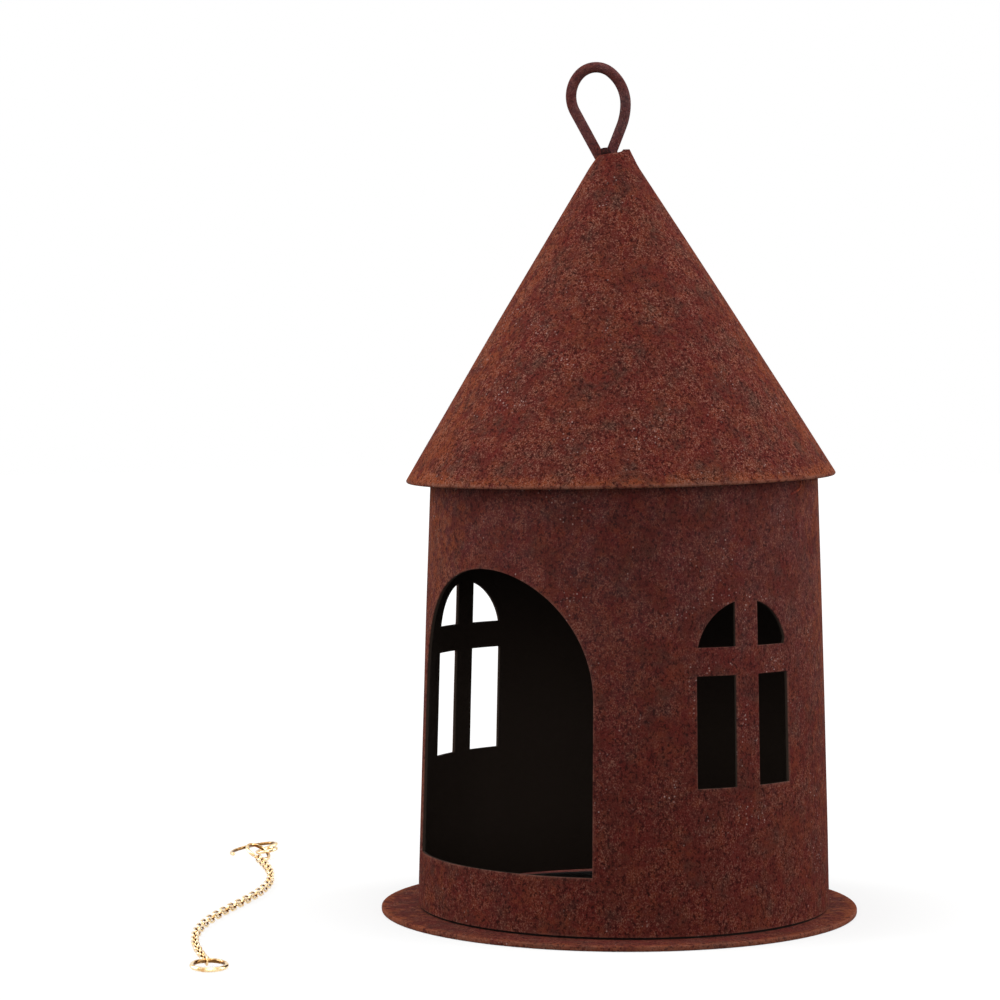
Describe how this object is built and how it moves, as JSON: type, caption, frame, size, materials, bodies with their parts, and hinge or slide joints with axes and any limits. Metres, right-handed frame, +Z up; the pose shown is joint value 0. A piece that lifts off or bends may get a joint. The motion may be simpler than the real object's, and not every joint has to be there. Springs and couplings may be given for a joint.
{
  "type": "hanging candle lantern",
  "caption": "Round rusted steel castle tower candle lantern with arched doorway, barred windows, conical roof and loop, and a loose gold cable chain with S-hook and rings.",
  "frame": {"origin": "middle of the base plate's underside, on the surface that the lantern stands on", "axes": "+Z up, the doorway faces -Y, the chain lies to the left and in front"},
  "size_m": [0.1837, 0.1737, 0.1955],
  "materials": {
    "rusted_steel": "rusted, grainy and matte",
    "gold_plated_wire": "polished gold plating"
  },
  "bodies": {
    "lantern": {"base_plate": "rusted_steel", "tower_wall": "rusted_steel", "roof_cone": "rusted_steel", "hanging_loop": "rusted_steel"},
    "link_01": {"link_01": "gold_plated_wire"},
    "link_02": {"link_02": "gold_plated_wire"},
    "link_03": {"link_03": "gold_plated_wire"},
    "link_04": {"link_04": "gold_plated_wire"},
    "link_05": {"link_05": "gold_plated_wire"},
    "link_06": {"link_06": "gold_plated_wire"},
    "link_07": {"link_07": "gold_plated_wire"},
    "link_08": {"link_08": "gold_plated_wire"},
    "link_09": {"link_09": "gold_plated_wire"},
    "link_10": {"link_10": "gold_plated_wire"},
    "link_11": {"link_11": "gold_plated_wire"},
    "link_12": {"link_12": "gold_plated_wire"},
    "link_13": {"link_13": "gold_plated_wire"},
    "link_14": {"link_14": "gold_plated_wire"},
    "link_15": {"link_15": "gold_plated_wire"},
    "link_16": {"link_16": "gold_plated_wire"},
    "link_17": {"link_17": "gold_plated_wire"},
    "link_18": {"link_18": "gold_plated_wire"},
    "link_19": {"link_19": "gold_plated_wire"},
    "link_20": {"link_20": "gold_plated_wire"},
    "link_21": {"link_21": "gold_plated_wire"},
    "link_22": {"link_22": "gold_plated_wire"},
    "link_23": {"link_23": "gold_plated_wire"},
    "link_24": {"link_24": "gold_plated_wire"},
    "link_25": {"link_25": "gold_plated_wire"},
    "link_26": {"link_26": "gold_plated_wire"},
    "link_27": {"link_27": "gold_plated_wire"},
    "link_28": {"link_28": "gold_plated_wire"},
    "link_29": {"link_29": "gold_plated_wire"},
    "link_30": {"link_30": "gold_plated_wire"},
    "link_31": {"link_31": "gold_plated_wire"},
    "link_32": {"link_32": "gold_plated_wire"},
    "link_33": {"link_33": "gold_plated_wire"},
    "link_34": {"link_34": "gold_plated_wire"},
    "link_35": {"link_35": "gold_plated_wire"},
    "link_36": {"link_36": "gold_plated_wire"},
    "link_37": {"link_37": "gold_plated_wire"},
    "link_38": {"link_38": "gold_plated_wire"},
    "link_39": {"link_39": "gold_plated_wire"},
    "link_40": {"link_40": "gold_plated_wire"},
    "link_41": {"link_41": "gold_plated_wire"},
    "link_42": {"link_42": "gold_plated_wire"},
    "link_43": {"link_43": "gold_plated_wire"},
    "link_44": {"link_44": "gold_plated_wire"},
    "link_45": {"link_45": "gold_plated_wire"},
    "link_46": {"link_46": "gold_plated_wire"},
    "link_47": {"link_47": "gold_plated_wire"},
    "link_48": {"link_48": "gold_plated_wire"},
    "link_49": {"link_49": "gold_plated_wire"},
    "link_50": {"link_50": "gold_plated_wire"},
    "link_51": {"link_51": "gold_plated_wire"},
    "link_52": {"link_52": "gold_plated_wire"},
    "link_53": {"link_53": "gold_plated_wire"},
    "lower_ring": {"lower_ring": "gold_plated_wire"},
    "s_hook": {"s_hook": "gold_plated_wire"},
    "upper_ring": {"upper_ring": "gold_plated_wire"}
  },
  "joints": [
    {"name": "chain_lift", "type": "slide", "parent": "lantern", "child": "link_27", "axis": [0, 0, 1], "range_m": [0, 0.12]},
    {"name": "hook_swing", "type": "hinge", "parent": "upper_ring", "child": "s_hook", "pos_m": [-0.11491, -0.01021, 0.00199], "axis": [0.8332, 0.1483, -0.5326], "range_deg": [-35, 35]},
    {"name": "link_swing_02_01", "type": "hinge", "parent": "link_02", "child": "link_01", "pos_m": [-0.11053, -0.01594, 0.00104], "axis": [-0.454, -0.7727, 0.4436], "range_deg": [-35, 35]},
    {"name": "link_swing_03_02", "type": "hinge", "parent": "link_03", "child": "link_02", "pos_m": [-0.10821, -0.01731, 0.00102], "axis": [-0.2512, -0.4087, -0.8774], "range_deg": [-35, 35]},
    {"name": "link_swing_04_03", "type": "hinge", "parent": "link_04", "child": "link_03", "pos_m": [-0.10589, -0.01869, 0.001], "axis": [0.4437, 0.7334, -0.515], "range_deg": [-35, 35]},
    {"name": "link_swing_05_04", "type": "hinge", "parent": "link_05", "child": "link_04", "pos_m": [-0.10358, -0.02009, 0.00098], "axis": [0.2972, 0.4623, 0.8355], "range_deg": [-35, 35]},
    {"name": "link_swing_06_05", "type": "hinge", "parent": "link_06", "child": "link_05", "pos_m": [-0.10129, -0.02152, 0.00097], "axis": [-0.4385, -0.684, 0.5831], "range_deg": [-35, 35]},
    {"name": "link_swing_07_06", "type": "hinge", "parent": "link_07", "child": "link_06", "pos_m": [-0.09902, -0.02298, 0.00095], "axis": [-0.3497, -0.5067, -0.788], "range_deg": [-35, 35]},
    {"name": "link_swing_08_07", "type": "hinge", "parent": "link_08", "child": "link_07", "pos_m": [-0.09677, -0.02448, 0.00092], "axis": [0.4351, 0.6259, -0.6472], "range_deg": [-35, 35]},
    {"name": "link_swing_09_08", "type": "hinge", "parent": "link_09", "child": "link_08", "pos_m": [-0.09456, -0.02602, 0.0009], "axis": [0.4088, 0.5406, 0.7353], "range_deg": [-35, 35]},
    {"name": "link_swing_10_09", "type": "hinge", "parent": "link_10", "child": "link_09", "pos_m": [-0.09238, -0.02762, 0.00087], "axis": [-0.4353, -0.5573, 0.7071], "range_deg": [-35, 35]},
    {"name": "link_swing_11_10", "type": "hinge", "parent": "link_11", "child": "link_10", "pos_m": [-0.09024, -0.02927, 0.00087], "axis": [-0.4501, -0.5453, -0.7071], "range_deg": [-35, 35]},
    {"name": "link_swing_12_11", "type": "hinge", "parent": "link_12", "child": "link_11", "pos_m": [-0.08814, -0.03097, 0.00087], "axis": [0.4653, 0.5324, -0.7071], "range_deg": [-35, 35]},
    {"name": "link_swing_13_12", "type": "hinge", "parent": "link_13", "child": "link_12", "pos_m": [-0.0861, -0.03273, 0.00087], "axis": [0.4806, 0.5187, 0.7071], "range_deg": [-35, 35]},
    {"name": "link_swing_14_13", "type": "hinge", "parent": "link_14", "child": "link_13", "pos_m": [-0.0841, -0.03456, 0.00087], "axis": [-0.4956, -0.5043, 0.7071], "range_deg": [-35, 35]},
    {"name": "link_swing_15_14", "type": "hinge", "parent": "link_15", "child": "link_14", "pos_m": [-0.08216, -0.03643, 0.00087], "axis": [-0.5103, -0.4895, -0.7071], "range_deg": [-35, 35]},
    {"name": "link_swing_16_15", "type": "hinge", "parent": "link_16", "child": "link_15", "pos_m": [-0.08028, -0.03837, 0.00087], "axis": [0.5242, 0.4745, -0.7071], "range_deg": [-35, 35]},
    {"name": "link_swing_17_16", "type": "hinge", "parent": "link_17", "child": "link_16", "pos_m": [-0.07846, -0.04036, 0.00087], "axis": [0.5374, 0.4596, 0.7071], "range_deg": [-35, 35]},
    {"name": "link_swing_18_17", "type": "hinge", "parent": "link_18", "child": "link_17", "pos_m": [-0.07669, -0.0424, 0.00087], "axis": [-0.5496, -0.4449, 0.7071], "range_deg": [-35, 35]},
    {"name": "link_swing_19_18", "type": "hinge", "parent": "link_19", "child": "link_18", "pos_m": [-0.07498, -0.04449, 0.00087], "axis": [-0.5606, -0.4309, -0.7071], "range_deg": [-35, 35]},
    {"name": "link_swing_20_19", "type": "hinge", "parent": "link_20", "child": "link_19", "pos_m": [-0.07332, -0.04662, 0.00087], "axis": [0.5705, 0.4178, -0.7071], "range_deg": [-35, 35]},
    {"name": "link_swing_21_20", "type": "hinge", "parent": "link_21", "child": "link_20", "pos_m": [-0.07171, -0.04879, 0.00087], "axis": [0.5791, 0.4058, 0.7071], "range_deg": [-35, 35]},
    {"name": "link_swing_22_21", "type": "hinge", "parent": "link_22", "child": "link_21", "pos_m": [-0.07015, -0.051, 0.00087], "axis": [-0.5864, -0.3952, 0.7071], "range_deg": [-35, 35]},
    {"name": "link_swing_23_22", "type": "hinge", "parent": "link_23", "child": "link_22", "pos_m": [-0.06864, -0.05323, 0.00087], "axis": [-0.5923, -0.3862, -0.7071], "range_deg": [-35, 35]},
    {"name": "link_swing_24_23", "type": "hinge", "parent": "link_24", "child": "link_23", "pos_m": [-0.06715, -0.05549, 0.00087], "axis": [0.597, 0.379, -0.7071], "range_deg": [-35, 35]},
    {"name": "link_swing_25_24", "type": "hinge", "parent": "link_25", "child": "link_24", "pos_m": [-0.0657, -0.05776, 0.00087], "axis": [0.6003, 0.3737, 0.7071], "range_deg": [-35, 35]},
    {"name": "link_swing_26_25", "type": "hinge", "parent": "link_26", "child": "link_25", "pos_m": [-0.06427, -0.06005, 0.00087], "axis": [-0.6022, -0.3705, 0.7071], "range_deg": [-35, 35]},
    {"name": "link_swing_27_26", "type": "hinge", "parent": "link_27", "child": "link_26", "pos_m": [-0.06286, -0.06235, 0.00087], "axis": [-0.6029, -0.3695, -0.7071], "range_deg": [-35, 35]},
    {"name": "link_swing_27_28", "type": "hinge", "parent": "link_27", "child": "link_28", "pos_m": [-0.06111, -0.06521, 0.00087], "axis": [-0.6029, -0.3695, -0.7071], "range_deg": [-35, 35]},
    {"name": "link_swing_28_29", "type": "hinge", "parent": "link_28", "child": "link_29", "pos_m": [-0.05969, -0.06751, 0.00087], "axis": [0.6022, 0.3705, -0.7071], "range_deg": [-35, 35]},
    {"name": "link_swing_29_30", "type": "hinge", "parent": "link_29", "child": "link_30", "pos_m": [-0.05826, -0.0698, 0.00087], "axis": [0.6003, 0.3737, 0.7071], "range_deg": [-35, 35]},
    {"name": "link_swing_30_31", "type": "hinge", "parent": "link_30", "child": "link_31", "pos_m": [-0.05682, -0.07208, 0.00087], "axis": [-0.597, -0.379, 0.7071], "range_deg": [-35, 35]},
    {"name": "link_swing_31_32", "type": "hinge", "parent": "link_31", "child": "link_32", "pos_m": [-0.05534, -0.07434, 0.00087], "axis": [-0.5923, -0.3862, -0.7071], "range_deg": [-35, 35]},
    {"name": "link_swing_32_33", "type": "hinge", "parent": "link_32", "child": "link_33", "pos_m": [-0.05383, -0.07658, 0.00087], "axis": [0.5864, 0.3952, -0.7071], "range_deg": [-35, 35]},
    {"name": "link_swing_33_34", "type": "hinge", "parent": "link_33", "child": "link_34", "pos_m": [-0.05228, -0.07879, 0.00087], "axis": [0.5791, 0.4058, 0.7071], "range_deg": [-35, 35]},
    {"name": "link_swing_34_35", "type": "hinge", "parent": "link_34", "child": "link_35", "pos_m": [-0.05069, -0.08097, 0.00087], "axis": [-0.5705, -0.4178, 0.7071], "range_deg": [-35, 35]},
    {"name": "link_swing_35_36", "type": "hinge", "parent": "link_35", "child": "link_36", "pos_m": [-0.04904, -0.08311, 0.00087], "axis": [-0.5606, -0.4309, -0.7071], "range_deg": [-35, 35]},
    {"name": "link_swing_36_37", "type": "hinge", "parent": "link_36", "child": "link_37", "pos_m": [-0.04734, -0.08521, 0.00087], "axis": [0.5496, 0.4449, -0.7071], "range_deg": [-35, 35]},
    {"name": "link_swing_37_38", "type": "hinge", "parent": "link_37", "child": "link_38", "pos_m": [-0.04559, -0.08726, 0.00087], "axis": [0.5374, 0.4596, 0.7071], "range_deg": [-35, 35]},
    {"name": "link_swing_38_39", "type": "hinge", "parent": "link_38", "child": "link_39", "pos_m": [-0.04378, -0.08926, 0.00087], "axis": [-0.5242, -0.4745, 0.7071], "range_deg": [-35, 35]},
    {"name": "link_swing_39_40", "type": "hinge", "parent": "link_39", "child": "link_40", "pos_m": [-0.04191, -0.09121, 0.00087], "axis": [-0.5103, -0.4895, -0.7071], "range_deg": [-35, 35]},
    {"name": "link_swing_40_41", "type": "hinge", "parent": "link_40", "child": "link_41", "pos_m": [-0.03998, -0.0931, 0.00087], "axis": [0.4956, 0.5043, -0.7071], "range_deg": [-35, 35]},
    {"name": "link_swing_41_42", "type": "hinge", "parent": "link_41", "child": "link_42", "pos_m": [-0.038, -0.09494, 0.00087], "axis": [0.4806, 0.5187, 0.7071], "range_deg": [-35, 35]},
    {"name": "link_swing_42_43", "type": "hinge", "parent": "link_42", "child": "link_43", "pos_m": [-0.03597, -0.09671, 0.00087], "axis": [-0.4653, -0.5324, 0.7071], "range_deg": [-35, 35]},
    {"name": "link_swing_43_44", "type": "hinge", "parent": "link_43", "child": "link_44", "pos_m": [-0.03389, -0.09843, 0.00092], "axis": [-0.441, -0.5529, -0.707], "range_deg": [-35, 35]},
    {"name": "link_swing_44_45", "type": "hinge", "parent": "link_44", "child": "link_45", "pos_m": [-0.03176, -0.1001, 0.00096], "axis": [0.4759, 0.5931, -0.6494], "range_deg": [-35, 35]},
    {"name": "link_swing_45_46", "type": "hinge", "parent": "link_45", "child": "link_46", "pos_m": [-0.02959, -0.1017, 0.00099], "axis": [0.3411, 0.4788, 0.8089], "range_deg": [-35, 35]},
    {"name": "link_swing_46_47", "type": "hinge", "parent": "link_46", "child": "link_47", "pos_m": [-0.02739, -0.10326, 0.00103], "axis": [-0.4968, -0.693, 0.5225], "range_deg": [-35, 35]},
    {"name": "link_swing_47_48", "type": "hinge", "parent": "link_47", "child": "link_48", "pos_m": [-0.02515, -0.10477, 0.00106], "axis": [-0.2464, -0.3814, -0.891], "range_deg": [-35, 35]},
    {"name": "link_swing_48_49", "type": "hinge", "parent": "link_48", "child": "link_49", "pos_m": [-0.02288, -0.10624, 0.00108], "axis": [0.5056, 0.7732, -0.3827], "range_deg": [-35, 35]},
    {"name": "link_swing_49_50", "type": "hinge", "parent": "link_49", "child": "link_50", "pos_m": [-0.0206, -0.10767, 0.0011], "axis": [0.1588, 0.2652, 0.951], "range_deg": [-35, 35]},
    {"name": "link_swing_50_51", "type": "hinge", "parent": "link_50", "child": "link_51", "pos_m": [-0.01829, -0.10908, 0.00111], "axis": [-0.5077, -0.8293, 0.2334], "range_deg": [-35, 35]},
    {"name": "link_swing_51_52", "type": "hinge", "parent": "link_51", "child": "link_52", "pos_m": [-0.01597, -0.11047, 0.00112], "axis": [-0.0779, -0.1357, -0.9877], "range_deg": [-35, 35]},
    {"name": "link_swing_52_53", "type": "hinge", "parent": "link_52", "child": "link_53", "pos_m": [-0.01365, -0.11184, 0.00112], "axis": [0.5076, 0.858, -0.0785], "range_deg": [-35, 35]},
    {"name": "lower_ring_swing", "type": "hinge", "parent": "link_53", "child": "lower_ring", "pos_m": [-0.01132, -0.11321, 0.00112], "axis": [0, 0, 1], "range_deg": [-35, 35]},
    {"name": "upper_ring_swing", "type": "hinge", "parent": "link_01", "child": "upper_ring", "pos_m": [-0.11286, -0.01457, 0.00105], "axis": [0.2107, 0.3479, 0.9135], "range_deg": [-35, 35]}
  ]
}
